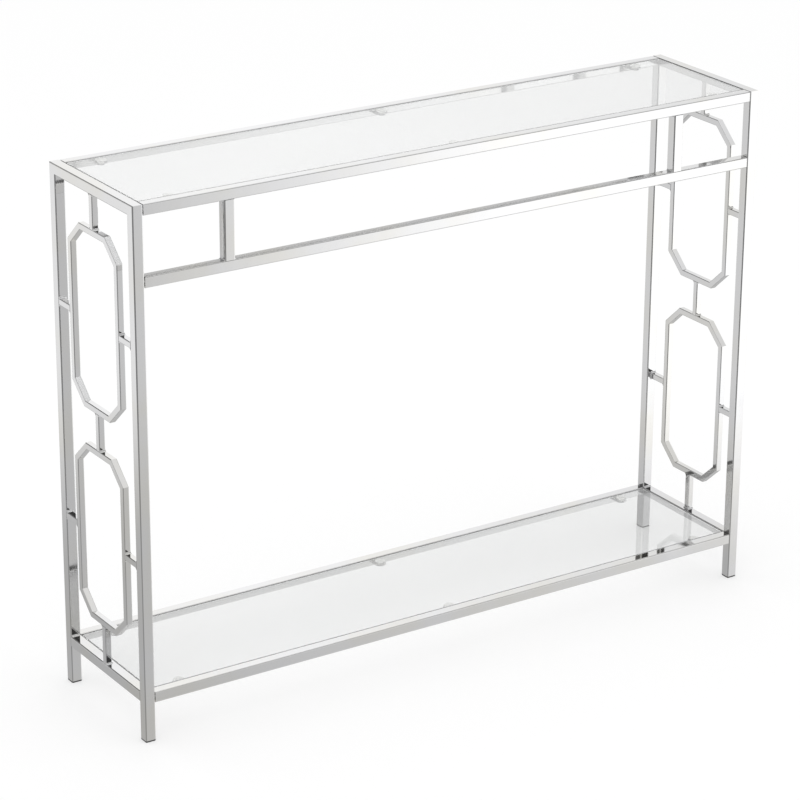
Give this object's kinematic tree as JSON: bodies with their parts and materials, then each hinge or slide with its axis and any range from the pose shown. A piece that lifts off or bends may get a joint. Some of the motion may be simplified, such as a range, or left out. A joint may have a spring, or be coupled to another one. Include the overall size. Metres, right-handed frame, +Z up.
{
  "type": "console table",
  "caption": "Narrow chrome console table with a glass top and glass shelf, octagon fretwork end frames and an open front apron.",
  "frame": {"origin": "centre of the footprint at the height of the feet's undersides", "axes": "+X along the table's length (left end frame at -X seen from the front), -Y towards the front with the apron, +Z up"},
  "size_m": [1.0668, 0.2414, 0.8001],
  "materials": {
    "chrome_frame": "polished chrome plate",
    "zinc_steel": "zinc-plated hardware, hidden in the tubes",
    "black_plastic": "moulded black plastic",
    "clear_bumper": "clear soft vinyl",
    "clear_glass": "clear tempered glass with polished edges"
  },
  "bodies": {
    "root": {"left_front_post": "chrome_frame", "left_rear_post": "chrome_frame", "left_top_cross_rail": "chrome_frame", "left_bottom_cross_rail": "chrome_frame", "left_upper_octagon": "chrome_frame", "left_lower_octagon": "chrome_frame", "left_top_link": "chrome_frame", "left_middle_link": "chrome_frame", "left_bottom_link": "chrome_frame", "left_fret_struts": "chrome_frame", "right_front_post": "chrome_frame", "right_rear_post": "chrome_frame", "right_top_cross_rail": "chrome_frame", "right_bottom_cross_rail": "chrome_frame", "right_upper_octagon": "chrome_frame", "right_lower_octagon": "chrome_frame", "right_top_link": "chrome_frame", "right_middle_link": "chrome_frame", "right_bottom_link": "chrome_frame", "right_fret_struts": "chrome_frame", "front_top_rail": "chrome_frame", "front_apron_rail": "chrome_frame", "left_apron_post": "chrome_frame", "right_apron_post": "chrome_frame", "rear_top_rail": "chrome_frame", "front_shelf_rail": "chrome_frame", "rear_shelf_rail": "chrome_frame", "rail_end_plates": "chrome_frame", "rivet_nuts": "zinc_steel", "joint_washers": "zinc_steel", "joint_bolts": "zinc_steel", "left_front_foot": "black_plastic", "left_rear_foot": "black_plastic", "right_front_foot": "black_plastic", "right_rear_foot": "black_plastic", "top_glass": "clear_glass", "shelf_glass": "clear_glass", "top_glass_tabs": "chrome_frame", "shelf_glass_tabs": "chrome_frame", "top_glass_bumpers": "clear_bumper", "shelf_glass_bumpers": "clear_bumper"}
  },
  "joints": []
}
